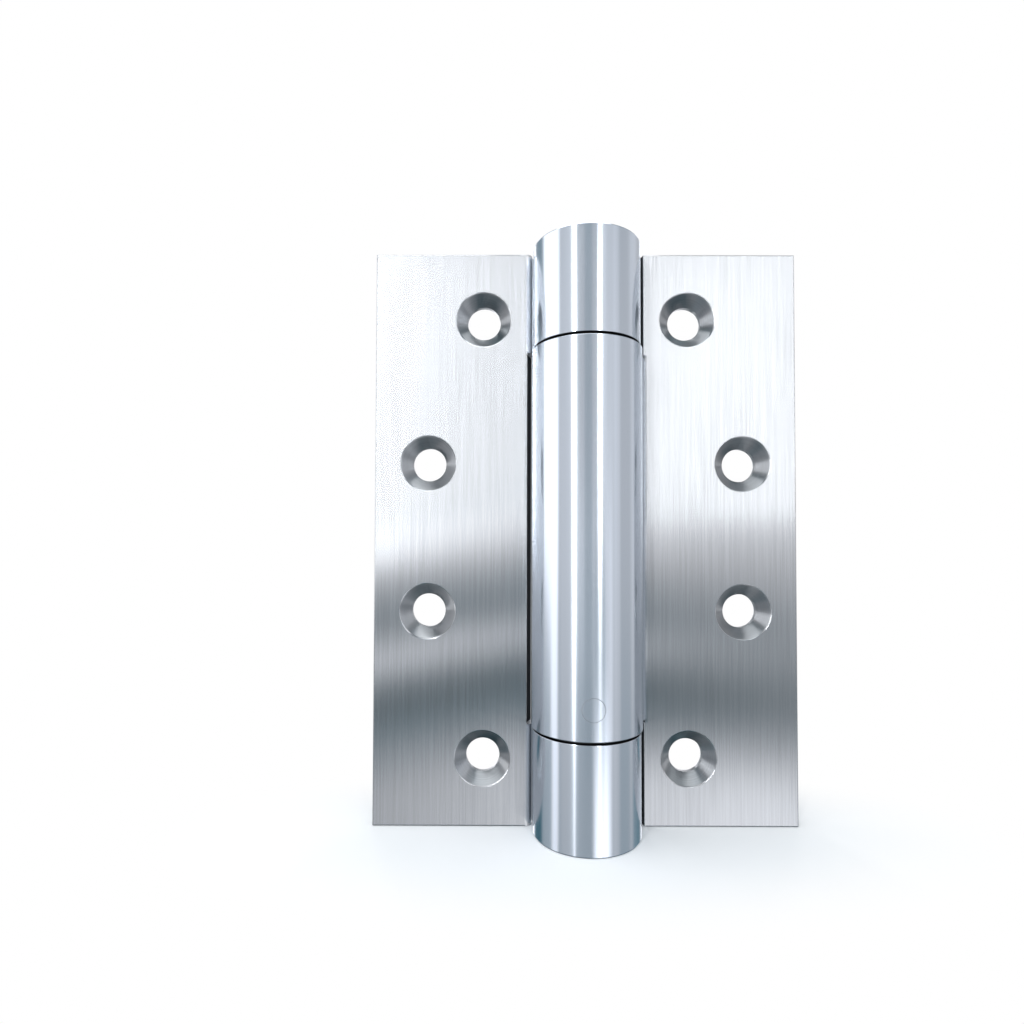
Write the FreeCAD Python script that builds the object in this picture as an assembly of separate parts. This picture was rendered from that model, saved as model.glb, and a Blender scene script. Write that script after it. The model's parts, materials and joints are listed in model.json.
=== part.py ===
"""Single-action spring hinge for a door, laid open flat.

The pin axis is Z, with the origin on it at half height. The leaves spread along X, and their
countersunk front faces look towards -Y. The frame leaf, on -X, is rolled into the two end
knuckles. The door leaf, on +X, is rolled into the long centre knuckle. Inside the barrel a
left-hand torsion spring is held between an adjusting spindle at the top, which turns in the
frame leaf, and an anchor spindle at the bottom, which is pinned to the door leaf.
"""
import FreeCAD, Part
import math
import os

os.makedirs("parts", exist_ok=True)

# Leaves, in mm
leaf_h = 101.6
leaf_w = 37.5
leaf_t = 3.0
leaf_set_back = 1.5
leaf_edge_break = 0.2

# Barrel
end_knuckle_d = 18.7
centre_knuckle_step = 0.6
end_knuckle_l = 17.75
bore_d = 12.6
rim_round = 0.15
bore_break = 0.3

# Gaps between the two leaves
knuckle_gap = 0.4
notch_gap = 0.9

# How the sheet leaves the flat and rolls into a knuckle
shoulder_r = 1.2
crevice_w = 0.15
crevice_depth = 1.4
heel_r = 3.0
neck_run = 1.5
seam_w = 0.2

# Countersunk screw holes
screw_hole_d = 6.0
screw_sink_d = 9.8
screw_land = 0.9
screw_rim_break = 0.12
near_hole_x = 18.2
far_hole_x = 28.0
end_hole_z = 39.0
mid_hole_z = 13.15

# Spindles
journal_clearance = 0.05
spindle_l = 24.5
spindle_recess = 1.0
spindle_break = 0.4
collar_d = 7.4
collar_t = 0.6
boss_d = 6.2
boss_l = 3.4
boss_break = 0.45
slot_w = 2.4
slot_l = 10.0
slot_sink = 0.4
hex_af = 6.0
hex_depth = 4.0

# Adjusting holes, stop pin and the window that the pin shows through
bar_hole_d = 3.6
bar_hole_from_top = 6.2
bar_hole_rows = 2
stop_pin_d = 3.5
stop_pin_l = 8.0
stop_pin_recess = 0.4
stop_pin_break = 0.4
window_h = 3.9
window_from_deg = 20.0
window_to_deg = 115.0

# Anchor pin, ground flush with the centre knuckle
anchor_pin_d = 3.8
anchor_pin_from_seam = 5.15
anchor_pin_clearance = 0.03

# Spring
wire_d = 2.0
coil_d = 8.5
coil_turns = 15.75
coil_seat = 0.1
tang_bend_r = 1.3
tang_reach = 2.8

# Bearing washers and the end cap
washer_clearance = 0.05
washer_inset = 0.6
cap_t = 2.5
cap_fit = 0.02
cap_break = 0.5

# How far a cutter reaches past what it cuts
overrun = 1.0

# Places worked out from the sizes above
front_y = leaf_set_back
back_y = leaf_set_back + leaf_t
top_z = leaf_h / 2
bore_r = bore_d / 2
end_r = end_knuckle_d / 2
centre_r = (end_knuckle_d + centre_knuckle_step) / 2
end_face_z = top_z - end_knuckle_l
centre_face_z = end_face_z - knuckle_gap
notch_r = centre_r + notch_gap
journal_r = bore_r - journal_clearance
adjuster_top_z = top_z - spindle_recess
adjuster_face_z = adjuster_top_z - spindle_l
anchor_bottom_z = -top_z + cap_t + 2 * journal_clearance
anchor_face_z = anchor_bottom_z + spindle_l
bar_hole_z = adjuster_top_z - bar_hole_from_top
anchor_pin_z = -centre_face_z + anchor_pin_from_seam
coil_r = coil_d / 2
wire_r = wire_d / 2
coil_rise = collar_t + wire_r + coil_seat
coil_bottom_z = anchor_face_z + coil_rise
coil_top_z = adjuster_face_z - coil_rise
coil_bottom_deg = 0.0
coil_top_deg = coil_bottom_deg - 360.0 * coil_turns


def vec(x, y, z=0.0):
    return FreeCAD.Vector(x, y, z)


def polar(radius, degrees, z=0.0):
    angle = math.radians(degrees)
    return vec(radius * math.cos(angle), radius * math.sin(angle), z)


def block(x0, x1, y0, y1, z0, z1):
    corner = vec(min(x0, x1), min(y0, y1), min(z0, z1))
    return Part.makeBox(abs(x1 - x0), abs(y1 - y0), abs(z1 - z0), corner)


def turned(points):
    """A solid of revolution about Z from corners (radius, z)."""
    outline = [vec(radius, 0, z) for radius, z in points]
    outline.append(outline[0])
    return Part.Face(Part.makePolygon(outline)).revolve(vec(0, 0), vec(0, 0, 1), 360)


def side_arc(side, centre, radius, start_deg, end_deg):
    """An arc in the XY plane, mirrored to the leaf's own side of the axis."""
    points = []
    for degrees in (start_deg, (start_deg + end_deg) / 2, end_deg):
        angle = math.radians(degrees)
        x = centre[0] + radius * math.cos(angle)
        y = centre[1] + radius * math.sin(angle)
        points.append(vec(side * x, y))
    return Part.Arc(*points).toShape()


def side_line(side, start, end):
    return Part.LineSegment(vec(side * start[0], start[1]), vec(side * end[0], end[1])).toShape()


def ring(outer_r, low_z, high_z):
    """The tube of one knuckle, with rounded outer rims and broken bore edges."""
    corner = rim_round * (1 - math.sqrt(0.5))
    rims = [
        (bore_r, low_z + bore_break),
        (bore_r + bore_break, low_z),
        (outer_r - rim_round, low_z),
        (outer_r - corner, low_z + corner),
        (outer_r, low_z + rim_round),
        (outer_r, high_z - rim_round),
        (outer_r - corner, high_z - corner),
        (outer_r - rim_round, high_z),
        (bore_r + bore_break, high_z),
        (bore_r, high_z - bore_break),
    ]
    return turned(rims)


def neck_start_x(outer_r):
    return outer_r + crevice_w + shoulder_r


def neck(side, outer_r, plate_x, low_z, high_z):
    """The bend between the flat leaf and the knuckle.

    The front face turns down into the crevice beside the knuckle over a round shoulder. The back
    face runs onto the knuckle in a hollow heel that is tangent to both.
    """
    root_y = front_y + crevice_depth
    flank_x = outer_r + crevice_w
    shoulder_x = neck_start_x(outer_r)
    mid_r = (bore_r + outer_r) / 2
    inner_x = math.sqrt(mid_r ** 2 - root_y ** 2)
    heel_y = back_y + heel_r
    heel_x = math.sqrt((outer_r + heel_r) ** 2 - heel_y ** 2)
    heel_deg = math.degrees(math.atan2(heel_y, heel_x))
    heel_in = (mid_r * math.cos(math.radians(heel_deg)), mid_r * math.sin(math.radians(heel_deg)))
    heel_out = (outer_r * math.cos(math.radians(heel_deg)), outer_r * math.sin(math.radians(heel_deg)))
    edges = [
        side_line(side, (plate_x, front_y), (shoulder_x, front_y)),
        side_arc(side, (shoulder_x, front_y + shoulder_r), shoulder_r, 270, 180),
        side_line(side, (flank_x, front_y + shoulder_r), (flank_x, root_y)),
        side_line(side, (flank_x, root_y), (inner_x, root_y)),
        side_line(side, (inner_x, root_y), heel_in),
        side_line(side, heel_in, heel_out),
        side_arc(side, (heel_x, heel_y), heel_r, heel_deg + 180, 270),
        side_line(side, (heel_x, back_y), (plate_x, back_y)),
        side_line(side, (plate_x, back_y), (plate_x, front_y)),
    ]
    face = Part.Face(Part.Wire(edges))
    face.translate(vec(0, 0, low_z))
    return face.extrude(vec(0, 0, high_z - low_z))


def seam(side, outer_r, low_z, high_z):
    """The thin slit where the rolled sheet's end meets its own root."""
    root_y = front_y + crevice_depth
    seam_deg = math.degrees(math.asin(root_y / outer_r) - seam_w / outer_r)
    slit = block(bore_r - overrun, outer_r + crevice_w / 2, -seam_w / 2, seam_w / 2, low_z, high_z)
    slit.rotate(vec(0, 0), vec(0, 0, 1), seam_deg if side > 0 else 180 - seam_deg)
    return slit


def screw_holes(side):
    """Cutters for the countersunk holes, each with a straight land and a narrow broken rim."""
    cutters = []
    hole_r = screw_hole_d / 2
    sink_r = screw_sink_d / 2
    sink_depth = leaf_t - screw_land
    rim_in_r = sink_r - screw_rim_break * (sink_r - hole_r) / sink_depth
    for x, z in ((near_hole_x, end_hole_z), (far_hole_x, mid_hole_z)):
        for up in (1, -1):
            place = vec(side * x, front_y, up * z)
            start = place - vec(0, overrun)
            cutters.append(Part.makeCylinder(hole_r, leaf_t + 2 * overrun, start, vec(0, 1)))
            cutters.append(Part.makeCone(sink_r, hole_r, sink_depth, place, vec(0, 1)))
            rim_out_r = sink_r + screw_rim_break
            cutters.append(Part.makeCone(rim_out_r, rim_in_r, screw_rim_break, place, vec(0, 1)))
    return cutters


def tongue(side, plate_x, low_z, high_z):
    """The plate beside the other leaf's knuckle, hollowed round it so that the gap is even."""
    flat = block(side * (notch_r - leaf_t), side * plate_x, front_y, back_y, low_z, high_z)
    return flat.cut(Part.makeCylinder(notch_r, high_z - low_z, vec(0, 0, low_z)))


def plate(side, plate_x):
    """The flat of one leaf, with its outer edge broken at the front and the back."""
    outline = [
        (plate_x, front_y),
        (leaf_w - leaf_edge_break, front_y),
        (leaf_w, front_y + leaf_edge_break),
        (leaf_w, back_y - leaf_edge_break),
        (leaf_w - leaf_edge_break, back_y),
        (plate_x, back_y),
        (plate_x, front_y),
    ]
    face = Part.Face(Part.makePolygon([vec(side * x, y, -top_z) for x, y in outline]))
    return face.extrude(vec(0, 0, leaf_h))


def end_breaks(side, from_x):
    """Cutters that break the top and bottom edges of one leaf, at the front and the back."""
    cutters = []
    for up in (1, -1):
        for y, inward in ((front_y, leaf_edge_break), (back_y, -leaf_edge_break)):
            corners = [(y, top_z), (y + inward, top_z), (y, top_z - leaf_edge_break), (y, top_z)]
            outline = [vec(side * from_x, corner_y, up * corner_z) for corner_y, corner_z in corners]
            cutters.append(Part.Face(Part.makePolygon(outline)).extrude(vec(side * leaf_w, 0)))
    return cutters


def leaf(side, outer_r, knuckle_spans, notch_spans):
    """One leaf, folded from one sheet: flat plate, necks and rolled knuckles."""
    plate_x = max(neck_start_x(outer_r), notch_r) + neck_run
    pieces = []
    slits = []
    for low_z, high_z in notch_spans:
        pieces.append(tongue(side, plate_x, low_z, high_z))
    for low_z, high_z in knuckle_spans:
        pieces.append(neck(side, outer_r, plate_x, low_z, high_z))
        pieces.append(ring(outer_r, low_z, high_z))
        slits.append(seam(side, outer_r, low_z, high_z))
    body = plate(side, plate_x).fuse(pieces)
    return body.cut(slits + end_breaks(side, notch_r) + screw_holes(side)).removeSplitter()


def window():
    """The slot milled round the back of the top knuckle, with round ends."""
    inner = bore_r - overrun
    outer = end_r + overrun
    corners = [
        (inner, bar_hole_z - window_h / 2),
        (outer, bar_hole_z - window_h / 2),
        (outer, bar_hole_z + window_h / 2),
        (inner, bar_hole_z + window_h / 2),
    ]
    outline = [polar(radius, window_from_deg, z) for radius, z in corners]
    outline.append(outline[0])
    arc_deg = window_to_deg - window_from_deg
    slot = Part.Face(Part.makePolygon(outline)).revolve(vec(0, 0), vec(0, 0, 1), arc_deg)
    ends = []
    for degrees in (window_from_deg, window_to_deg):
        start = polar(inner, degrees, bar_hole_z)
        ends.append(Part.makeCylinder(window_h / 2, outer - inner, start, polar(1, degrees)))
    return slot.fuse(ends)


def frame_leaf():
    spans = [(end_face_z, top_z), (-top_z, -end_face_z)]
    body = leaf(-1, end_r, spans, [(-end_face_z, end_face_z)])
    return body.cut(window())


def anchor_pin_hole():
    hole_r = anchor_pin_d / 2 + anchor_pin_clearance
    start = vec(0, -centre_r - overrun, anchor_pin_z)
    return Part.makeCylinder(hole_r, 2 * (centre_r + overrun), start, vec(0, 1))


def door_leaf():
    spans = [(-centre_face_z, centre_face_z)]
    notches = [(centre_face_z, top_z), (-top_z, -centre_face_z)]
    body = leaf(1, centre_r, spans, notches)
    return body.cut(anchor_pin_hole())


def spindle(tang_deg):
    """A spindle standing on its plain end, with the slotted boss on top at z = 0.

    The journal runs down from z = 0. A low collar and a smaller boss stand on it, and a slot for
    the spring's tang is cut through both and a little into the journal's face.
    """
    journal = turned([
        (0, 0),
        (journal_r - spindle_break, 0),
        (journal_r, -spindle_break),
        (journal_r, spindle_break - spindle_l),
        (journal_r - spindle_break, -spindle_l),
        (0, -spindle_l),
    ])
    boss = turned([
        (0, 0),
        (collar_d / 2, 0),
        (collar_d / 2, collar_t),
        (boss_d / 2, collar_t),
        (boss_d / 2, boss_l - boss_break),
        (boss_d / 2 - boss_break, boss_l),
        (0, boss_l),
    ])
    slot = block(-slot_l / 2, slot_l / 2, -slot_w / 2, slot_w / 2, -slot_sink, boss_l + overrun)
    slot.rotate(vec(0, 0), vec(0, 0, 1), tang_deg)
    return journal.fuse(boss).cut(slot).removeSplitter()


def tang_bend_deg():
    """How far the wire bends inwards at a coil's end, to head for the axis."""
    return math.degrees(math.acos(-tang_bend_r / (coil_r - tang_bend_r)))


def tang_line_deg(end_deg, turn):
    """The line of the straight tang, which crosses the axis.

    turn is 1 where the wire runs on anticlockwise from the coil's end, seen from above, and -1
    where it runs on clockwise.
    """
    return end_deg + turn * (tang_bend_deg() - 90)


def bar_holes():
    """Round holes right through the adjusting spindle, crossing at equal angles."""
    holes = []
    for row in range(bar_hole_rows):
        degrees = window_to_deg + 180.0 * row / bar_hole_rows
        start = polar(journal_r + overrun, degrees, bar_hole_z)
        length = 2 * (journal_r + overrun)
        holes.append(Part.makeCylinder(bar_hole_d / 2, length, start, polar(-1, degrees)))
    return holes


def hex_socket():
    corner_r = hex_af / 2 / math.cos(math.radians(30))
    outline = [polar(corner_r, 60 * corner, adjuster_top_z - hex_depth) for corner in range(7)]
    return Part.Face(Part.makePolygon(outline)).extrude(vec(0, 0, hex_depth + overrun))


def adjusting_spindle():
    body = spindle(0)
    body.rotate(vec(0, 0), vec(1, 0), 180)
    body.rotate(vec(0, 0), vec(0, 0, 1), tang_line_deg(coil_top_deg, -1))
    body.translate(vec(0, 0, adjuster_face_z))
    return body.cut(bar_holes() + [hex_socket()])


def anchor_spindle():
    body = spindle(tang_line_deg(coil_bottom_deg, 1))
    body.translate(vec(0, 0, anchor_face_z))
    return body.cut(anchor_pin_hole())


def anchor_pin():
    start = vec(0, -centre_r - overrun, anchor_pin_z)
    pin = Part.makeCylinder(anchor_pin_d / 2, 2 * (centre_r + overrun), start, vec(0, 1))
    flush = Part.makeCylinder(centre_r, 2 * anchor_pin_d, vec(0, 0, anchor_pin_z - anchor_pin_d))
    return pin.common(flush)


def stop_pin():
    """The pin that locks the adjusting spindle against the end of the window."""
    outer = end_r - stop_pin_recess
    inner = outer - stop_pin_l
    radius = stop_pin_d / 2
    pin = turned([
        (0, inner),
        (radius - stop_pin_break, inner),
        (radius, inner + stop_pin_break),
        (radius, outer - stop_pin_break),
        (radius - stop_pin_break, outer),
        (0, outer),
    ])
    pin.rotate(vec(0, 0), vec(0, 1), 90)
    pin.rotate(vec(0, 0), vec(0, 0, 1), window_to_deg)
    pin.translate(vec(0, 0, bar_hole_z))
    return pin


def tang(point, heading):
    """The centre line of one end of the spring, from the coil's end onwards.

    A tight bend turns the wire inwards, and a straight run crosses the axis in the slot.
    """
    inward = vec(-point.x, -point.y).normalize()
    centre = point + inward * tang_bend_r
    axis = heading.cross(inward).normalize()
    steps = [FreeCAD.Rotation(axis, tang_bend_deg() * share) for share in (0, 0.5, 1)]
    bend = [centre + step.multVec(point - centre) for step in steps]
    run = math.hypot(bend[-1].x, bend[-1].y) + tang_reach
    tip = bend[-1] + steps[-1].multVec(heading) * run
    return [Part.Arc(*bend).toShape(), Part.LineSegment(bend[-1], tip).toShape()]


def torsion_spring():
    """One round wire, swept along a left-hand helix and the tangs at both its ends."""
    height = coil_top_z - coil_bottom_z
    helix = Part.makeHelix(height / coil_turns, height, coil_r, 0, True)
    helix.rotate(vec(0, 0), vec(0, 0, 1), coil_bottom_deg)
    helix.translate(vec(0, 0, coil_bottom_z))
    coil = helix.Edges[0]
    bottom = coil.valueAt(coil.FirstParameter)
    bottom_heading = coil.tangentAt(coil.FirstParameter)
    top = coil.valueAt(coil.LastParameter)
    low_end = tang(bottom, bottom_heading * -1)
    high_end = tang(top, coil.tangentAt(coil.LastParameter))
    path = Part.Wire(Part.__sortEdges__(low_end + [coil] + high_end))
    tip = low_end[1].valueAt(low_end[1].LastParameter)
    tip_heading = low_end[1].tangentAt(low_end[1].LastParameter)
    section = Part.Wire(Part.makeCircle(wire_r, tip, tip_heading))
    return path.makePipeShell([section], True, False)


def bearing_washer(up):
    """A thin washer between two knuckles, set in a little from their outside."""
    thickness = knuckle_gap - 2 * washer_clearance
    middle_z = up * (end_face_z + centre_face_z) / 2
    base = vec(0, 0, middle_z - thickness / 2)
    outside = Part.makeCylinder(end_r - washer_inset, thickness, base)
    return outside.cut(Part.makeCylinder(bore_r, thickness, base))


def bottom_end_cap():
    radius = bore_r - cap_fit
    return turned([
        (0, -top_z),
        (radius - cap_break, -top_z),
        (radius, -top_z + cap_break),
        (radius, -top_z + cap_t),
        (0, -top_z + cap_t),
    ])


pieces = {
    "frame_leaf": frame_leaf(),
    "door_leaf": door_leaf(),
    "adjusting_spindle": adjusting_spindle(),
    "stop_pin": stop_pin(),
    "torsion_spring": torsion_spring(),
    "anchor_spindle": anchor_spindle(),
    "anchor_pin": anchor_pin(),
    "upper_bearing_washer": bearing_washer(1),
    "lower_bearing_washer": bearing_washer(-1),
    "bottom_end_cap": bottom_end_cap(),
}
for name, shape in pieces.items():
    print(name, len(shape.Solids), shape.isValid(), round(shape.Volume, 1))
    shape.exportStep("parts/" + name + ".step")
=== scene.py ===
"""A spring hinge in polished and satin stainless steel, dressed for a studio picture.

The frame gives the hinge's solid pieces in metres, with the pin axis as Z and the leaves' screw faces
towards -Y. Each piece gets its finish here, the small marks that the solids don't hold are added as
surfaces worked out from formulas, and the stage sets the floor, the surroundings and the camera.
"""

import json

import bmesh
import bpy
import numpy as np
from mathutils import Matrix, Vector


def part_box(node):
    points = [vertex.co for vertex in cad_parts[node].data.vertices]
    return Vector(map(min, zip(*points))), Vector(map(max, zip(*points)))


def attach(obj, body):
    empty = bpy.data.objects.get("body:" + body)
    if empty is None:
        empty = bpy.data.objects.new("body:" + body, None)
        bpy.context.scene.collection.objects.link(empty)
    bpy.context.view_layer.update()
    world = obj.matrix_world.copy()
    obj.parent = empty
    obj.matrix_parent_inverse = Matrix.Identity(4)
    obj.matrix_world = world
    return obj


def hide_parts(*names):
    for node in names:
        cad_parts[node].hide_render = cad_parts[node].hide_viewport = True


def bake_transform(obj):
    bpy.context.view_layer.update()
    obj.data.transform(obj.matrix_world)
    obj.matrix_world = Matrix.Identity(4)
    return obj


bl_info = {
    "name": "Spring hinge finish",
    "version": (1, 0, 0),
    "blender": (4, 5, 0),
    "location": "3D View > Sidebar > Hinge",
    "description": "Finishes a spring hinge and sets it on a pale studio stage",
    "category": "Object",
}

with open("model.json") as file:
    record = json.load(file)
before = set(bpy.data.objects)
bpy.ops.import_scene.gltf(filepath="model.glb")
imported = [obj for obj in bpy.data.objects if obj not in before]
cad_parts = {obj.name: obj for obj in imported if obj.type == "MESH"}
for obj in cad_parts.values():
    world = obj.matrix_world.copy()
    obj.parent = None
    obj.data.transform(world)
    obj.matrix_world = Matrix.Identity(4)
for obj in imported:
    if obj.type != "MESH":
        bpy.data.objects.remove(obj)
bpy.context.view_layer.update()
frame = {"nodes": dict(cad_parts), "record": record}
MM = 0.001

# Places read from the frame's pieces, in metres
FRAME_LEAF = [np.array(corner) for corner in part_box("frame_leaf")]
DOOR_LEAF = [np.array(corner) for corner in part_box("door_leaf")]
ANCHOR_PIN = [np.array(corner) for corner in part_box("anchor_pin")]
UPPER_WASHER = [np.array(corner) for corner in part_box("upper_bearing_washer")]
CENTRE_R = DOOR_LEAF[1][1]
END_R = FRAME_LEAF[1][1]
SEAM_Z = UPPER_WASHER[0][2]
FLOOR_Z = FRAME_LEAF[0][2]

# Where the screw holes lie, from the frame's record
MOUNTS = {mount["name"]: mount for mount in frame["record"]["mounts"]}

# The spring in metres: its wire, the middle of its coil and its bent ends
WIRE_R = 1.0 * MM
COIL_R = 4.25 * MM
COIL_TURNS = 15.75
COIL_BOTTOM_Z = -22.0 * MM
COIL_TOP_Z = 23.6 * MM
TANG_BEND_R = 1.3 * MM
TANG_REACH = 2.8 * MM

# The dome of light: its radius in metres, and its upright bands, each a middle, a half width and a
# soft edge in degrees of turn from the camera's side, then what it adds to the level
DOME_R = 2.0
DOME_BANDS = (
    (-48.0, 13.0, 8.0, 0.13),
    (-3.0, 8.0, 6.0, -0.11),
    (28.0, 5.0, 5.0, 0.22),
    (43.0, 11.0, 6.0, 0.16),
    (58.0, 6.0, 6.0, 0.18),
    (108.0, 14.0, 10.0, 0.14),
    (-128.0, 14.0, 8.0, -0.20),
    (152.0, 5.0, 3.0, 1.6),
    (-158.0, 6.0, 3.0, 1.9),
    (176.0, 5.0, 3.0, 0.7),
)

# The two strip lamps: a middle and a width in degrees of turn, the slopes at the lower and upper
# end, and the level at which they glow
LEFT_STRIP = (-31.5, 4.0, -0.015, 0.57, 21.0)
RIGHT_STRIP = (20.5, 6.4, 0.045, 0.57, 5.9)

# The dome's level in front, from steep below, at 0, over level, at 0.5, to steep above, at 1
LEFT_FRONT = (
    (0.03, 0.46), (0.10, 0.50), (0.145, 0.40), (0.19, 0.28), (0.23, 0.08), (0.275, 0.10), (0.30, 0.95),
    (0.33, 1.60), (0.36, 0.55), (0.385, 0.28), (0.41, 0.40), (0.45, 0.62), (0.495, 1.05), (0.54, 1.40),
)
RIGHT_FRONT = (
    (0.03, 1.70), (0.10, 1.65), (0.145, 0.90), (0.19, 0.30), (0.23, 0.05), (0.275, 0.04), (0.32, 0.08),
    (0.36, 0.16), (0.41, 0.38), (0.45, 0.50), (0.495, 0.56), (0.53, 0.80), (0.54, 1.40),
)


class Field:
    """A number that varies over a surface, held as a shader socket, so that sums are written as sums."""

    def __init__(self, graph, socket):
        self.graph = graph
        self.socket = socket

    def __add__(self, other):
        return self.graph.math("ADD", self, other)

    def __radd__(self, other):
        return self.graph.math("ADD", other, self)

    def __sub__(self, other):
        return self.graph.math("SUBTRACT", self, other)

    def __rsub__(self, other):
        return self.graph.math("SUBTRACT", other, self)

    def __mul__(self, other):
        return self.graph.math("MULTIPLY", self, other)

    def __rmul__(self, other):
        return self.graph.math("MULTIPLY", other, self)

    def __truediv__(self, other):
        return self.graph.math("DIVIDE", self, other)

    def __rtruediv__(self, other):
        return self.graph.math("DIVIDE", other, self)


class Graph:
    """The nodes of one material or of the world, written as expressions."""

    def __init__(self, tree):
        self.tree = tree
        tree.nodes.clear()

    def node(self, kind, settings=None, sockets=None):
        """Adds a node, sets what it is, then feeds its sockets with numbers, colours or links."""
        node = self.tree.nodes.new(kind)
        for name, value in (settings or {}).items():
            if name == "stops":
                self.set_stops(node.color_ramp, value)
            else:
                setattr(node, name, value)
        for key, value in (sockets or {}).items():
            self.feed(node.inputs[key], value)
        return node

    def set_stops(self, ramp, stops):
        """Gives a colour ramp its stops, each a place and a grey or a colour."""
        while len(ramp.elements) > 1:
            ramp.elements.remove(ramp.elements[-1])
        for index, (place, colour) in enumerate(stops):
            stop = ramp.elements[0] if index == 0 else ramp.elements.new(place)
            stop.position = place
            stop.color = colour_of(colour)

    def feed(self, socket, value):
        """Links a field or another node's output to a socket, or sets its number."""
        if isinstance(value, Field):
            self.tree.links.new(value.socket, socket)
        elif isinstance(value, bpy.types.NodeSocket):
            self.tree.links.new(value, socket)
        else:
            socket.default_value = value

    def math(self, operation, *values):
        """One sum, product or other operation on numbers."""
        node = self.node("ShaderNodeMath", {"operation": operation}, dict(enumerate(values)))
        return Field(self, node.outputs[0])

    def smallest(self, first, second):
        return self.math("MINIMUM", first, second)

    def largest(self, first, second):
        return self.math("MAXIMUM", first, second)

    def length(self, first, second):
        """The length of the vector with these two legs."""
        return self.math("SQRT", first * first + second * second)

    def rise(self, value, low, high):
        """0 below low, 1 above high, and a smooth step between."""
        settings = {"interpolation_type": "SMOOTHSTEP"}
        sockets = {"Value": value, "From Min": low, "From Max": high}
        return Field(self, self.node("ShaderNodeMapRange", settings, sockets).outputs["Result"])

    def fall(self, value, low, high):
        """1 below low, 0 above high, and a smooth step between."""
        return 1 - self.rise(value, low, high)

    def window(self, value, middle, half_width, soft):
        """1 within half_width of the middle, with edges that fade over soft."""
        away = self.math("ABSOLUTE", value - middle)
        return self.fall(away, half_width - soft * 0.5, half_width + soft * 0.5)

    def mix(self, factor, low, high):
        """A colour between two colours."""
        settings = {"data_type": "RGBA"}
        node = self.node("ShaderNodeMix", settings, {0: factor, 6: colour_of(low), 7: colour_of(high)})
        return node.outputs[2]

    def ramp(self, place, stops):
        """A level read from stops along a ramp, with smooth passages between them."""
        settings = {"stops": stops}
        node = self.node("ShaderNodeValToRGB", settings, {0: place})
        node.color_ramp.interpolation = "EASE"
        return Field(self, node.outputs["Color"])

    def place_mm(self):
        """The x, y and z of a point in the object's own frame, in millimetres."""
        coordinates = self.node("ShaderNodeTexCoord").outputs["Object"]
        parts = self.node("ShaderNodeSeparateXYZ", None, {0: coordinates})
        return [Field(self, parts.outputs[axis]) * (1 / MM) for axis in range(3)]

    def noise(self, x, y, z, detail=2.0, roughness=0.5):
        """Smooth noise from 0 to 1 at a place given in its own pitches."""
        vector = self.node("ShaderNodeCombineXYZ", None, {0: x, 1: y, 2: z}).outputs[0]
        sockets = {"Vector": vector, "Scale": 1.0, "Detail": detail, "Roughness": roughness}
        return Field(self, self.node("ShaderNodeTexNoise", None, sockets).outputs[0])

    def bump(self, height, depth_mm, under=None):
        """A normal from a height of 0 to 1 that stands for depth_mm, laid over another normal."""
        sockets = {"Height": height, "Distance": depth_mm * MM, "Strength": 1.0}
        if under is not None:
            sockets["Normal"] = under
        return self.node("ShaderNodeBump", None, sockets).outputs[0]

    def surface(self, shader):
        """Makes the shader the material's or the world's result."""
        kind = "ShaderNodeOutputWorld" if self.is_world() else "ShaderNodeOutputMaterial"
        self.node(kind, None, {"Surface": shader})

    def is_world(self):
        return isinstance(self.tree.id_data, bpy.types.World)


def colour_of(value):
    """A grey or a colour as red, green, blue and alpha; a link stays as it is."""
    if isinstance(value, (int, float)):
        return (value, value, value, 1.0)
    if isinstance(value, (Field, bpy.types.NodeSocket)):
        return value
    return (*tuple(value)[:3], 1.0)


def new_material(name):
    """An empty material and its graph."""
    material = bpy.data.materials.new(name)
    material.use_nodes = True
    return material, Graph(material.node_tree)


def dress(node_name, material):
    """Gives a solid of the frame its finish."""
    mesh = frame["nodes"][node_name].data
    mesh.materials.clear()
    mesh.materials.append(material)


def grid_piece(name, points, closed_along, closed_across, material):
    """A smooth mesh from a grid of points, each cell a quad, with its edges joined where it is closed.

    points has one row for each step along the piece and one column for each step across it.
    """
    rows, columns = points.shape[:2]
    along = np.arange(rows if closed_along else rows - 1)
    across = np.arange(columns if closed_across else columns - 1)
    i, j = [part.ravel() for part in np.meshgrid(along, across, indexing="ij")]
    next_i = (i + 1) % rows
    next_j = (j + 1) % columns
    quads = np.stack([i * columns + j, next_i * columns + j, next_i * columns + next_j, i * columns + next_j], 1)
    mesh = bpy.data.meshes.new(name)
    mesh.vertices.add(rows * columns)
    mesh.vertices.foreach_set("co", points.reshape(-1).astype(np.float32))
    mesh.loops.add(quads.size)
    mesh.loops.foreach_set("vertex_index", quads.reshape(-1).astype(np.int32))
    mesh.polygons.add(len(quads))
    mesh.polygons.foreach_set("loop_start", (np.arange(len(quads)) * 4).astype(np.int32))
    mesh.update(calc_edges=True)
    join_doubles(mesh)
    mesh.shade_smooth()
    mesh.materials.append(material)
    piece = bpy.data.objects.new(name, mesh)
    bpy.context.scene.collection.objects.link(piece)
    return piece


def join_doubles(mesh):
    """Joins points that lie on each other, which closes a pole, and drops the cells that vanish."""
    shape = bmesh.new()
    shape.from_mesh(mesh)
    bmesh.ops.remove_doubles(shape, verts=shape.verts, dist=1e-7)
    shape.to_mesh(mesh)
    shape.free()


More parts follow.
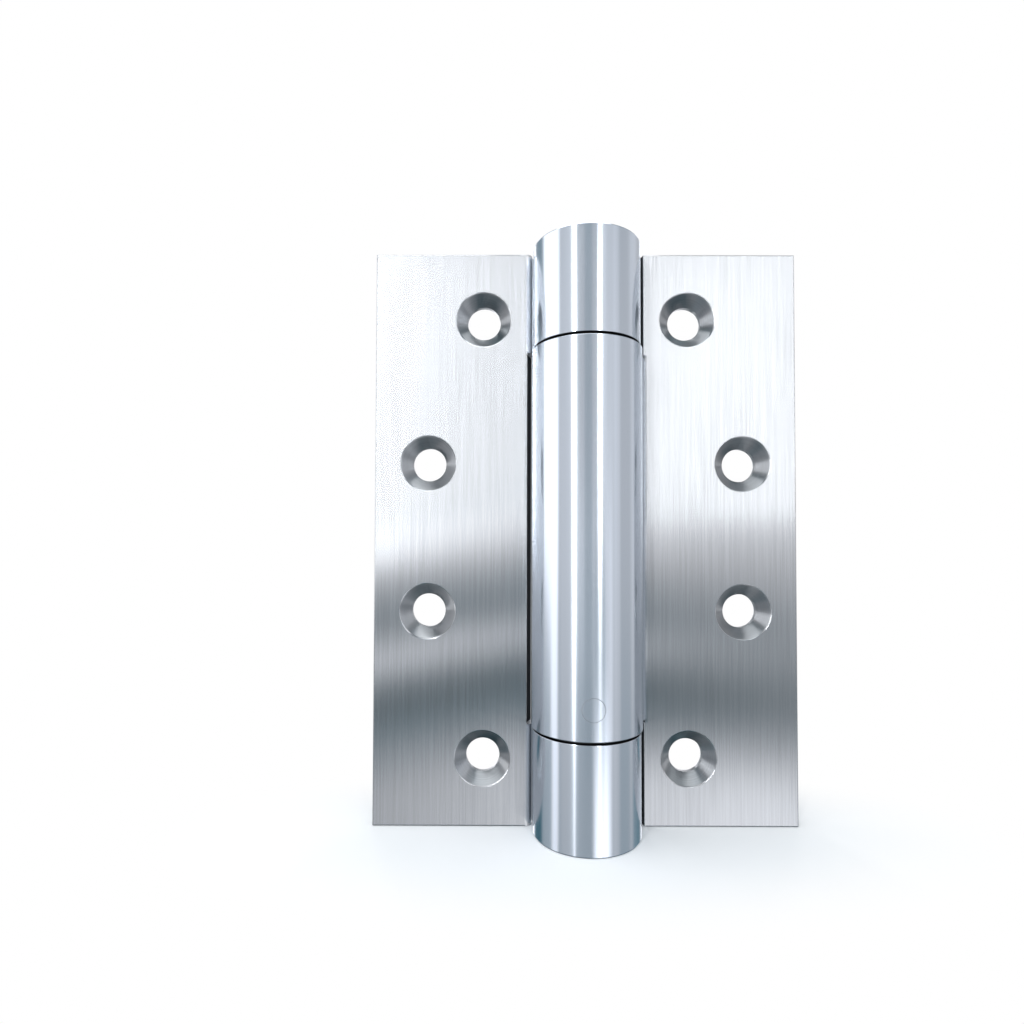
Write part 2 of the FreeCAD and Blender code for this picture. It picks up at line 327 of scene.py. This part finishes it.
class SteelSettings(bpy.types.PropertyGroup):
    """Colours and polish of the steel pieces."""

    leaf_colour: bpy.props.FloatVectorProperty(
        name="Satin steel", description="Colour that the satin leaves reflect with",
        subtype="COLOR", size=3, min=0, max=1, default=(0.56, 0.58, 0.605))
    barrel_colour: bpy.props.FloatVectorProperty(
        name="Polished steel", description="Colour that the polished barrel reflects with",
        subtype="COLOR", size=3, min=0, max=1, default=(0.76, 0.83, 0.92))
    leaf_roughness: bpy.props.FloatProperty(
        name="Leaf roughness", description="Roughness of the satin leaves", default=0.255, min=0, max=1)
    barrel_roughness: bpy.props.FloatProperty(
        name="Barrel roughness", description="Roughness of the polished barrel", default=0.20, min=0, max=1)
    grain_stretch: bpy.props.FloatProperty(
        name="Grain stretch", description="How much further the grain spreads light across than along",
        default=1.0, min=0, max=1)
    grain_pitch: bpy.props.FloatProperty(
        name="Grain pitch", description="Width of one line of the satin grain, in millimetres",
        default=0.27, min=0.02, max=1)
    grain_length: bpy.props.FloatProperty(
        name="Grain length", description="Length of one line of the satin grain, in millimetres",
        default=16.0, min=1, max=60)
    grain_contrast: bpy.props.FloatProperty(
        name="Grain contrast", description="How much darker the grain's lines are where it is strongest",
        default=0.17, min=0, max=1)
    grain_depth: bpy.props.FloatProperty(
        name="Grain depth", description="Depth of the satin grain, in millimetres",
        default=0.0002, min=0, max=0.1, precision=4)
    turned_colour: bpy.props.FloatVectorProperty(
        name="Turned steel", description="Colour of the spindles and pins",
        subtype="COLOR", size=3, min=0, max=1, default=(0.66, 0.68, 0.70))
    wire_colour: bpy.props.FloatVectorProperty(
        name="Spring wire", description="Colour of the spring's wire",
        subtype="COLOR", size=3, min=0, max=1, default=(0.42, 0.43, 0.45))


class PlasticSettings(bpy.types.PropertyGroup):
    """Colour and gloss of the black nylon pieces, and the marks that their mould leaves."""

    colour: bpy.props.FloatVectorProperty(
        name="Nylon", description="Colour of the washers and the end cap",
        subtype="COLOR", size=3, min=0, max=1, default=(0.018, 0.019, 0.021))
    roughness: bpy.props.FloatProperty(
        name="Roughness", description="Roughness of the moulded nylon", default=0.42, min=0, max=1)
    gate_radius: bpy.props.FloatProperty(
        name="Gate radius", description="Radius of the mark that the mould's gate leaves on the cap",
        default=0.9 * MM, min=0, unit="LENGTH")


class PinSettings(bpy.types.PropertyGroup):
    """The seam that shows round the anchor pin's end."""

    seam_width: bpy.props.FloatProperty(
        name="Seam width", description="Width of the line round the pin's end", default=0.09 * MM,
        min=0, precision=5, unit="LENGTH")


class StageSettings(bpy.types.PropertyGroup):
    """The floor, the surroundings that the steel reflects, and the camera."""

    floor_colour: bpy.props.FloatVectorProperty(
        name="Floor", description="Colour of the floor", subtype="COLOR", size=3, min=0, max=1,
        default=(0.93, 0.94, 0.95))
    top_lamp_power: bpy.props.FloatProperty(
        name="Top lamp", description="Power of the soft lamp overhead", default=2.35, min=0, unit="POWER")
    lens: bpy.props.FloatProperty(
        name="Lens", description="Focal length of the camera", default=20.87, min=1, unit="CAMERA")


def settings(name):
    """One of the scene's groups of settings."""
    return getattr(bpy.context.scene, name)


def hole_distance(graph, x, z):
    """How far a point of a leaf lies from the middle of the nearest screw hole, in millimetres.

    The holes lie in mirrored sets, so the sizes of x and z alone say which hole is nearest.
    """
    away = None
    for name in ("frame_leaf_end_screws", "frame_leaf_mid_screws"):
        mount = MOUNTS[name]
        across = abs(mount["pos_m"][0]) / MM
        up = mount["dims"]["spacing_y_mm"] / 2
        from_hole = graph.length(graph.math("ABSOLUTE", x) - across, graph.math("ABSOLUTE", z) - up)
        away = from_hole if away is None else graph.smallest(away, from_hole)
    return away


def between_seams(graph, z):
    """1 at the heights of the centre knuckle, 0 at those of the end knuckles."""
    return graph.fall(graph.math("ABSOLUTE", z), SEAM_Z / MM, SEAM_Z / MM + 0.4)


def notch_walls(graph, x, y, z, radius):
    """1 on the walls of the notches that clear the other leaf's knuckles, 0 elsewhere; there the steel is painted
    near black as shade.

    The walls are round about the pin axis. The frame leaf, on -X, has its notch between the seams,
    and the door leaf, on +X, has one above and one below them.
    """
    barrel_mm = CENTRE_R / MM
    reach = graph.rise(radius, barrel_mm + 0.2, barrel_mm + 0.4)
    reach = reach * graph.fall(radius, barrel_mm + 0.9, barrel_mm + 1.0)
    depth = graph.rise(y, 1.65, 1.9) * graph.fall(y, 4.3, 4.45)
    between = between_seams(graph, z)
    door_side = graph.rise(x, -1.0, 1.0)
    side = between + door_side * (1 - between * 2)
    return reach * depth * side


def sheet_steel():
    """Stainless sheet: satin leaves with upright grain, polished knuckles, turned screw sinks.

    The leaves' grain runs up them, so it spreads light sideways, and the knuckles were polished
    round, so their marks spread light up and down into long streaks. The grain is noise drawn out
    along Z, and inside a screw hole the lines run round the hole as the cutter left them.
    """
    steel = settings("hinge_steel")
    material, graph = new_material("sheet_steel")
    x, y, z = graph.place_mm()
    radius = graph.length(x, y)
    over_knuckle = radius - END_R / MM - between_seams(graph, z) * ((CENTRE_R - END_R) / MM)
    leaf = graph.rise(over_knuckle, 0.03, 0.25)
    bore = graph.fall(over_knuckle, -3.0, -2.7)
    from_hole = hole_distance(graph, x, z)
    sink = graph.fall(from_hole, 4.85, 4.95) * graph.fall(y, 4.3, 4.45) * leaf
    notch_shade = notch_walls(graph, x, y, z, radius)
    across = x / steel.grain_pitch
    through = y / steel.grain_pitch
    lines = graph.noise(across, through, z / steel.grain_length, 1.0, 0.5)
    fine_lines = graph.noise(across * 2.3, through * 2.3, z / steel.grain_length, 1.0, 0.5)
    patches = graph.noise(x * 0.08, y * 0.08, z * 0.05, 2.0, 0.5)
    swell = graph.noise(x * 0.045, y * 0.05, z * 0.06, 1.0, 0.4)
    smudge = graph.noise(x * 0.11, y * 0.11, z * 0.05, 3.0, 0.6)
    rings = graph.noise(from_hole * 7.0, 0.0, z * 0.05, 2.0, 0.6)
    grain = graph.rise(lines * 0.45 + fine_lines * 0.55, 0.36, 0.64)
    tone = 1 - (1 - grain) * (0.02 + patches * steel.grain_contrast)
    # Painted shade: the screw sinks get a darker tone than the leaf, with the cutter's rings running through it.
    tone = tone * (1 - sink) + (0.50 + rings * 0.38) * sink
    satin_shade = graph.mix(tone, (0.0, 0.0, 0.0), steel.leaf_colour)
    # Painted shade: the notch walls turn near black, as the narrow slots between each leaf and the other leaf's
    # knuckles look in shadow.
    satin_shade = graph.mix(notch_shade, satin_shade, (0.030, 0.033, 0.037))
    polished_shade = graph.mix(smudge, [channel * 0.96 for channel in steel.barrel_colour], steel.barrel_colour)
    polished_shade = graph.mix(bore, polished_shade, (0.32, 0.33, 0.35))
    # Painted shade with polish residue: near the seams the knuckles' rounded rims turn near black and rougher, so
    # the seams read dark and wide.
    seam = graph.window(graph.math("ABSOLUTE", z), SEAM_Z / MM + 0.15, 0.30, 0.06)
    polished_shade = graph.mix(seam, polished_shade, (0.030, 0.033, 0.037))
    normal = graph.bump(swell, 0.02)
    twist = (x + 23.0) * z * 0.0008 * graph.fall(x, -1.0, 1.0)
    twisted = graph.bump(twist, 1.0, normal)
    satin_normal = graph.bump(grain * (1 - sink) + rings * sink, steel.grain_depth, twisted)
    satin = graph.node("ShaderNodeBsdfPrincipled", None, {
        "Base Color": satin_shade, "Metallic": 1.0, "Normal": satin_normal,
        "Roughness": steel.leaf_roughness + (patches - 0.5) * 0.03 + notch_shade * 0.5 + sink * 0.12,
        "Anisotropic": steel.grain_stretch})
    polished = graph.node("ShaderNodeBsdfPrincipled", None, {
        "Base Color": polished_shade, "Metallic": 1.0, "Normal": normal,
        "Roughness": steel.barrel_roughness + (smudge - 0.5) * 0.03 + bore * 0.2 + seam * 0.4,
        "Anisotropic": 0.9, "Anisotropic Rotation": 0.25})
    graph.surface(graph.node("ShaderNodeMixShader", None, {
        0: graph.largest(leaf, notch_shade), 1: polished.outputs[0], 2: satin.outputs[0]}).outputs[0])
    return material


def turned_steel():
    """Bar steel off the lathe: fine lines round the pin axis and a few brighter bands."""
    steel = settings("hinge_steel")
    material, graph = new_material("turned_steel")
    x, y, z = graph.place_mm()
    radius = graph.length(x, y)
    feed = graph.noise(radius * 2.0, 0.0, z * 7.0, 2.0, 0.6)
    band = graph.noise(radius * 0.3, 0.0, z * 0.7, 2.0, 0.5)
    stain = graph.noise(x * 0.4, y * 0.4, z * 0.4, 3.0, 0.6)
    colour = graph.mix(stain, [channel * 0.86 for channel in steel.turned_colour], steel.turned_colour)
    roughness = 0.24 + band * 0.12
    normal = graph.bump(feed, 0.0035)
    sockets = {"Base Color": colour, "Metallic": 1.0, "Roughness": roughness, "Normal": normal}
    graph.surface(graph.node("ShaderNodeBsdfPrincipled", None, sockets).outputs[0])
    return material


def spring_wire():
    """Drawn spring wire: grey, with a thin film of oil that gathers in darker patches."""
    steel = settings("hinge_steel")
    material, graph = new_material("spring_wire")
    x, y, z = graph.place_mm()
    draw_lines = graph.noise(x * 2.2, y * 2.2, z * 9.0, 2.0, 0.6)
    film = graph.noise(x * 0.35, y * 0.35, z * 0.25, 3.0, 0.55)
    colour = graph.mix(film, [channel * 0.55 for channel in steel.wire_colour], steel.wire_colour)
    roughness = 0.38 - film * 0.16
    normal = graph.bump(draw_lines, 0.004)
    sockets = {"Base Color": colour, "Metallic": 1.0, "Roughness": roughness, "Normal": normal}
    graph.surface(graph.node("ShaderNodeBsdfPrincipled", None, sockets).outputs[0])
    return material


def black_nylon():
    """Moulded nylon: near black, a little grey where it is rubbed, with a fine pebbled skin.

    A low ring round the pin axis is what the mould's gate leaves in the middle of the end cap.
    """
    plastic = settings("hinge_plastic")
    material, graph = new_material("black_nylon")
    x, y, z = graph.place_mm()
    gate_mm = plastic.gate_radius / MM
    ring = graph.window(graph.length(x, y), gate_mm, 0.08, 0.1)
    pebble = graph.noise(x * 6.0, y * 6.0, z * 6.0, 2.0, 0.5)
    rub = graph.noise(x * 0.8, y * 0.8, z * 0.8, 3.0, 0.6)
    colour = graph.mix(rub, plastic.colour, [channel * 1.9 for channel in plastic.colour])
    roughness = plastic.roughness + rub * 0.12
    normal = graph.bump(ring, 0.05, graph.bump(pebble, 0.006))
    sockets = {"Base Color": colour, "Metallic": 0.0, "Roughness": roughness, "Normal": normal}
    graph.surface(graph.node("ShaderNodeBsdfPrincipled", None, sockets).outputs[0])
    return material


def seam_shadow():
    """The dark film on the bead round the pin's end: painted shade of the hairline joint, with oxide and polish
    that the wheel leaves behind.
    """
    material, graph = new_material("pin_seam_shade")
    x, y, z = graph.place_mm()
    grit = graph.noise(x * 4.0, y * 4.0, z * 4.0, 2.0, 0.6)
    colour = graph.mix(grit, (0.20, 0.22, 0.25), (0.42, 0.45, 0.50))
    roughness = 0.35 + grit * 0.2
    normal = graph.bump(grit, 0.004)
    sockets = {"Base Color": colour, "Metallic": 0.8, "Roughness": roughness, "Normal": normal}
    graph.surface(graph.node("ShaderNodeBsdfPrincipled", None, sockets).outputs[0])
    return material


class HINGE_OT_finish_sheet(bpy.types.Operator):
    """Give both leaves and the anchor pin's flush end the stainless sheet finish"""

    bl_idname = "hinge.finish_sheet"
    bl_label = "Finish sheet steel"

    def execute(self, context):
        material = sheet_steel()
        for name in ("frame_leaf", "door_leaf", "anchor_pin"):
            dress(name, material)
        return {"FINISHED"}


class HINGE_OT_finish_turned(bpy.types.Operator):
    """Give the spindles and the stop pin the turned steel finish"""

    bl_idname = "hinge.finish_turned"
    bl_label = "Finish turned steel"

    def execute(self, context):
        material = turned_steel()
        for name in ("adjusting_spindle", "anchor_spindle", "stop_pin"):
            dress(name, material)
        return {"FINISHED"}


class HINGE_OT_wind_spring(bpy.types.Operator):
    """Make the torsion spring in two halves and hide the frame's spring"""

    bl_idname = "hinge.wind_spring"
    bl_label = "Wind spring"

    def execute(self, context):
        material = spring_wire()
        line = spring_line()
        middle = int(np.argmin(np.abs(line[:, 2] - (COIL_BOTTOM_Z + COIL_TOP_Z) / 2)))
        lower = wire_piece("torsion_spring_lower", line[:middle + 1], material)
        upper = wire_piece("torsion_spring_upper", line[middle:], material)
        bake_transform(lower)
        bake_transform(upper)
        for half in (lower, upper):
            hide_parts("torsion_spring")
        return {"FINISHED"}


def tang_line(point, heading):
    """The centre line of one bent end, from the coil's end onwards.

    The wire turns towards the pin axis on an arc, a point on which is the arc's middle less the
    inward direction times the cosine plus the heading times the sine. It then runs straight on,
    across the axis. The arc's whole turn is the one after which the wire heads for the axis.
    """
    inward = np.array([-point[0], -point[1], 0.0])
    inward = inward / np.linalg.norm(inward)
    whole = np.arccos(-TANG_BEND_R / (COIL_R - TANG_BEND_R))
    turns = np.linspace(0, whole, 13)[1:, None]
    arc = point + TANG_BEND_R * (inward * (1 - np.cos(turns)) + heading * np.sin(turns))
    last_heading = inward * np.sin(whole) + heading * np.cos(whole)
    run = np.hypot(arc[-1, 0], arc[-1, 1]) + TANG_REACH
    straight = arc[-1] + np.linspace(0, run, 9)[1:, None] * last_heading
    return np.concatenate([arc, straight])


def spring_line():
    """The spring's centre line: a left-hand helix about the pin axis, and a bent end at each end.

    Along the helix the angle falls by COIL_TURNS turns while z rises evenly.
    """
    share = np.linspace(0, 1, int(COIL_TURNS * 40) + 1)
    angle = -2 * np.pi * COIL_TURNS * share
    rise = COIL_TOP_Z - COIL_BOTTOM_Z
    helix = np.stack([COIL_R * np.cos(angle), COIL_R * np.sin(angle), COIL_BOTTOM_Z + rise * share], -1)
    speed = -2 * np.pi * COIL_TURNS * COIL_R
    headings = np.stack([-speed * np.sin(angle), speed * np.cos(angle), np.full_like(angle, rise)], -1)
    headings = headings / np.linalg.norm(headings, axis=1, keepdims=True)
    low = tang_line(helix[0], -headings[0])
    high = tang_line(helix[-1], headings[-1])
    return np.concatenate([low[::-1], helix, high])


def wire_piece(name, line, material):
    """A round wire along a line: a circle across the line's direction at each of its points.

    The circle's first leg is the direction times Z, and its second is the first times the
    direction. At both ends it shrinks to a point, which closes the wire.
    """
    heading = np.gradient(line, axis=0)
    heading = heading / np.linalg.norm(heading, axis=1, keepdims=True)
    first = np.cross(heading, [0.0, 0.0, 1.0])
    first = first / np.linalg.norm(first, axis=1, keepdims=True)
    second = np.cross(first, heading)
    turn = np.linspace(0, 2 * np.pi, 14, endpoint=False)[None, :, None]
    ring = WIRE_R * (np.cos(turn) * first[:, None, :] + np.sin(turn) * second[:, None, :])
    points = line[:, None, :] + ring
    start = np.repeat(line[:1, None, :], turn.shape[1], axis=1)
    end = np.repeat(line[-1:, None, :], turn.shape[1], axis=1)
    return grid_piece(name, np.concatenate([start, points, end]), False, True, material)


class HINGE_OT_finish_nylon(bpy.types.Operator):
    """Give the washers and the end cap the moulded nylon finish"""

    bl_idname = "hinge.finish_nylon"
    bl_label = "Finish nylon"

    def execute(self, context):
        material = black_nylon()
        for name in ("upper_bearing_washer", "lower_bearing_washer", "bottom_end_cap"):
            dress(name, material)
        return {"FINISHED"}


class HINGE_OT_pin_seam(bpy.types.Operator):
    """Add the fine seam round the anchor pin's end on the barrel"""

    bl_idname = "hinge.pin_seam"
    bl_label = "Add pin seam"

    def execute(self, context):
        # The bead stands for the hairline joint round the pin's end, and its dark film is painted shade.
        seam = pin_seam(seam_shadow())
        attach(seam, "door_side")
        return {"FINISHED"}


def pin_seam(material):
    """A fine bead along the line where the round pin meets the round barrel.

    The line is a circle of the pin's radius seen along Y and laid on the barrel: y is minus the root
    of the barrel's radius squared less x squared. A small circle is carried along it, half sunk.
    """
    half = settings("hinge_pin").seam_width / 2
    pin_r = (ANCHOR_PIN[1][0] - ANCHOR_PIN[0][0]) / 2
    middle_z = (ANCHOR_PIN[1][2] + ANCHOR_PIN[0][2]) / 2
    turn = np.linspace(0, 2 * np.pi, 96, endpoint=False)[:, None]
    round_bead = np.linspace(0, 2 * np.pi, 10, endpoint=False)[None, :]
    from_middle = pin_r + half * np.cos(round_bead)
    x = from_middle * np.cos(turn)
    z = middle_z + from_middle * np.sin(turn)
    y = -np.sqrt(CENTRE_R ** 2 - x ** 2) - 0.35 * half * np.sin(round_bead)
    return grid_piece("pin_seam", np.stack([x, y, z], -1), True, True, material)


class HINGE_OT_stage(bpy.types.Operator):
    """Set the floor, the surroundings, the lamps and the camera"""

    bl_idname = "hinge.stage"
    bl_label = "Set the stage"

    def execute(self, context):
        context.scene.view_settings.view_transform = "Standard"
        set_world(context.scene)
        set_floor()
        set_dome()
        set_strip("left_strip", LEFT_STRIP)
        set_strip("right_strip", RIGHT_STRIP)
        set_top_lamp()
        set_camera(context.scene)
        return {"FINISHED"}


def set_world(scene):
    """White to the eye and in the steel, softer as a light."""
    world = bpy.data.worlds.new("studio_sky")
    world.use_nodes = True
    scene.world = world
    graph = Graph(world.node_tree)
    path = graph.node("ShaderNodeLightPath")
    seen = graph.largest(Field(graph, path.outputs["Is Camera Ray"]), Field(graph, path.outputs["Is Glossy Ray"]))
    seen = graph.largest(seen, Field(graph, path.outputs["Is Transmission Ray"]))
    strength = 0.6 + seen * 0.4
    sockets = {"Color": colour_of(1.0), "Strength": strength}
    graph.surface(graph.node("ShaderNodeBackground", None, sockets).outputs[0])


def stage_grid(name, points, material):
    """A sheet of the stage from a grid of points."""
    sheet = grid_piece(name, points, False, False, material)
    return sheet


def set_floor():
    """A pale floor that fades to plain white away from the hinge and keeps its shadow near it."""
    stage = settings("hinge_stage")
    material, graph = new_material("pale_floor")
    x, y, z = graph.place_mm()
    near = graph.fall(graph.length(x * 0.4, y), 12.0, 30.0)
    diffuse = graph.node("ShaderNodeBsdfDiffuse", None, {"Color": colour_of(stage.floor_colour)})
    glow = graph.node("ShaderNodeEmission", None, {"Color": colour_of(1.0), "Strength": 1.0})
    mixed = graph.node("ShaderNodeMixShader", None, {0: near, 1: glow.outputs[0], 2: diffuse.outputs[0]})
    graph.surface(mixed.outputs[0])
    across = np.linspace(-0.58, 0.58, 9)
    x, y = np.meshgrid(across, across, indexing="ij")
    floor = stage_grid("floor", np.stack([x, y, np.full_like(x, FLOOR_Z - 0.05 * MM)], -1), material)
    floor.visible_glossy = False


def sum_of_bands(graph, turn, bands):
    """The sum of upright bands of light, each a window over the turn about the pin axis."""
    total = 0.0
    for middle, half_width, soft, level in bands:
        total = total + graph.window(turn, middle, half_width, soft) * level
    return total


def set_dome():
    """A wide dome of soft light round the hinge, seen only in the steel.

    It is a sphere about the pin axis, and its brightness is worked out from the turn round the axis
    and the slope up or down. Upright bands make the streaks on the barrel. In front, the dome falls
    to a dark band below the level of the pin's middle and rises again, which the leaves show.
    """
    material, graph = new_material("dome_light")
    x, y, z = graph.place_mm()
    turn = graph.math("DEGREES", graph.math("ARCTAN2", x, 0 - y))
    slope = z / graph.length(x, y)
    level = 0.55 + sum_of_bands(graph, turn, DOME_BANDS)
    high = graph.rise(slope, -0.2, 0.05)
    flank = graph.window(turn, -75.0 - high * 13.0, 8.0 + high * 14.0, 6.0)
    flank = flank * graph.window(slope, 0.1, 0.9, 0.4)
    level = level + flank * (0.85 + high * 0.2)
    limbs = graph.window(graph.math("ABSOLUTE", turn + 5.0), 125.0, 16.0, 10.0)
    level = level * (1 - graph.fall(slope, -0.35, 0.0) * (0.25 + limbs * 0.3))
    left = graph.ramp(slope + 0.5, LEFT_FRONT)
    right = graph.ramp(slope + 0.5, RIGHT_FRONT)
    to_right = graph.rise(turn, 3.0, 15.0)
    front = left + (right - left) * to_right
    low_front = graph.window(turn, 3.0, 37.0, 16.0) * graph.fall(slope, 0.03, 0.06)
    level = level + (front - level) * low_front
    core = graph.window(turn, -3.0, 8.0, 6.0) * graph.window(slope, -0.05, 0.12, 0.12)
    level = level - core * 0.25
    below = graph.fall(slope, 0.0, 0.08)
    level = level + graph.window(turn, 38.0, 8.0, 6.0) * below * 0.35
    level = level + graph.window(turn, -31.5, 2.0, 2.0) * below * 0.7
    level = level + graph.window(turn, 20.5, 3.2, 3.0) * below * 0.4
    level = level * (1 - graph.rise(graph.math("ABSOLUTE", slope), 0.62, 0.95) * 0.5)
    level = level * (1 - graph.fall(slope, -2.4, -1.0) * 0.8)
    tint = graph.mix(graph.rise(level, 0.05, 0.55), (0.25, 0.78, 1.0), (0.99, 0.99, 1.02))
    graph.surface(graph.node("ShaderNodeEmission", None, {"Color": tint, "Strength": level}).outputs[0])
    turns = np.linspace(0, 2 * np.pi, 97)[:, None]
    lifts = np.linspace(-0.5 * np.pi, 0.5 * np.pi, 49)[None, :]
    across = DOME_R * np.cos(lifts)
    up = DOME_R * np.sin(lifts)
    points = np.stack([across * np.sin(turns), -across * np.cos(turns), up + 0 * turns], -1)
    dome = stage_grid("dome", points, material)
    dome.visible_camera = False
    dome.visible_shadow = False


def set_strip(name, strip):
    """An upright strip lamp just inside the dome, for the leaves' upper halves and the barrel's streaks.

    Its power is its level times four times its area, which gives the level as its brightness.
    """
    middle, width, low_slope, high_slope, level = strip
    away = DOME_R * 0.85
    lamp = bpy.data.lights.new(name, "AREA")
    lamp.shape = "RECTANGLE"
    lamp.size = away * np.radians(width)
    lamp.size_y = away * (high_slope - low_slope)
    lamp.energy = level * 4 * lamp.size * lamp.size_y
    holder = bpy.data.objects.new(name, lamp)
    turn = np.radians(middle)
    middle_z = away * (low_slope + high_slope) / 2
    place = Matrix.Translation((away * np.sin(turn), -away * np.cos(turn), middle_z))
    facing = Matrix.Rotation(turn, 4, "Z") @ Matrix.Rotation(np.pi / 2, 4, "X")
    holder.matrix_world = place @ facing
    holder.visible_camera = False
    bpy.context.scene.collection.objects.link(holder)


def set_top_lamp():
    """A soft lamp overhead, a little to the front."""
    lamp = bpy.data.lights.new("top_lamp", "AREA")
    lamp.shape = "DISK"
    lamp.size = 0.6
    lamp.energy = settings("hinge_stage").top_lamp_power
    holder = bpy.data.objects.new("top_lamp", lamp)
    holder.location = (-0.05, -0.12, 0.55)
    holder.rotation_euler = (np.radians(-12), 0, 0)
    holder.visible_camera = False
    bpy.context.scene.collection.objects.link(holder)


def set_camera(scene):
    """The camera in front of the pin axis, a little to the left, looking slightly up."""
    camera = bpy.data.cameras.new("camera")
    camera.lens = settings("hinge_stage").lens
    camera.sensor_width = 36.0
    camera.shift_y = 20 / 1024
    camera.clip_start = 0.001
    holder = bpy.data.objects.new("camera", camera)
    yaw, pitch, roll = np.radians([0.100, 1.310, -0.159])
    turned = Matrix.Rotation(yaw, 4, "Z") @ Matrix.Rotation(pitch, 4, "X") @ Matrix.Rotation(roll, 4, "Y")
    level = Matrix.Rotation(np.pi / 2, 4, "X")
    holder.matrix_world = Matrix.Translation((-12.86 * MM, -104.0 * MM, -1.48 * MM)) @ turned @ level
    scene.collection.objects.link(holder)
    scene.camera = holder


class HINGE_PT_finish(bpy.types.Panel):
    """Lists the finishing steps and their settings in the sidebar"""

    bl_idname = "HINGE_PT_finish"
    bl_label = "Spring hinge"
    bl_space_type = "VIEW_3D"
    bl_region_type = "UI"
    bl_category = "Hinge"

    def draw(self, context):
        column = self.layout.column()
        for step in STEPS:
            column.operator(step.bl_idname)
        for group, kind in GROUPS.items():
            column.label(text=kind.__name__)
            for name in kind.__annotations__:
                column.prop(getattr(context.scene, group), name)


STEPS = (HINGE_OT_finish_sheet, HINGE_OT_finish_turned, HINGE_OT_wind_spring, HINGE_OT_finish_nylon,
         HINGE_OT_pin_seam, HINGE_OT_stage)
GROUPS = {"hinge_steel": SteelSettings, "hinge_plastic": PlasticSettings, "hinge_pin": PinSettings,
          "hinge_stage": StageSettings}
CLASSES = (*GROUPS.values(), *STEPS, HINGE_PT_finish)


def register():
    for kind in CLASSES:
        bpy.utils.register_class(kind)
    for name, kind in GROUPS.items():
        setattr(bpy.types.Scene, name, bpy.props.PointerProperty(type=kind))


def unregister():
    for name in GROUPS:
        delattr(bpy.types.Scene, name)
    for kind in reversed(CLASSES):
        bpy.utils.unregister_class(kind)


def main():
    """Registers the add-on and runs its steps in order."""
    register()
    bpy.ops.hinge.finish_sheet()
    bpy.ops.hinge.finish_turned()
    bpy.ops.hinge.wind_spring()
    bpy.ops.hinge.finish_nylon()
    bpy.ops.hinge.pin_seam()
    bpy.ops.hinge.stage()


if __name__ == "__main__":
    main()
